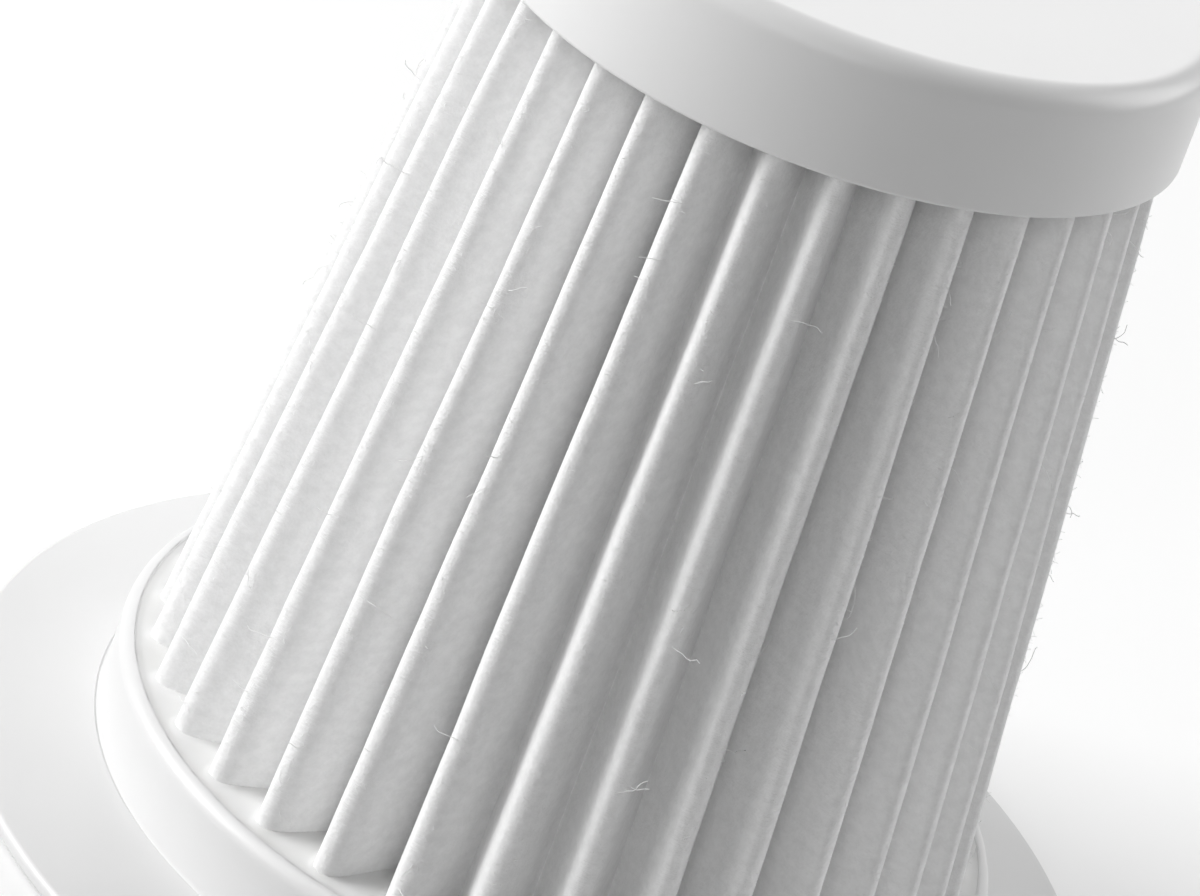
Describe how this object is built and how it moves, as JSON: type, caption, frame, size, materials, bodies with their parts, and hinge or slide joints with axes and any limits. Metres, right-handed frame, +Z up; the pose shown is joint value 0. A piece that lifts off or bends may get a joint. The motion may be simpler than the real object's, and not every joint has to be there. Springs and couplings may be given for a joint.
{
  "type": "vacuum cleaner filter",
  "caption": "Cone-shaped pleated air filter for a small vacuum cleaner, with a flanged base, a closed cap and an inner support cage.",
  "frame": {"origin": "centre of the lower face of the seal ring, which the filter stands on", "axes": "+Z up along the filter's axis, from the flange to the cap"},
  "size_m": [0.0996, 0.0996, 0.088],
  "materials": {
    "white_moulding": "satin white moulded plastic",
    "cage_moulding": "plain white moulded plastic",
    "nonwoven_sheet": "white nonwoven filter sheet, slightly fuzzy",
    "glue": "smooth set white glue",
    "soft_seal": "pale grey soft rubber"
  },
  "bodies": {
    "root": {"base_flange": "white_moulding", "top_cap": "white_moulding", "inner_cage": "cage_moulding", "pleated_media": "nonwoven_sheet", "base_potting": "glue", "cap_potting": "glue", "media_seam": "glue", "seal_ring": "soft_seal"}
  },
  "joints": []
}
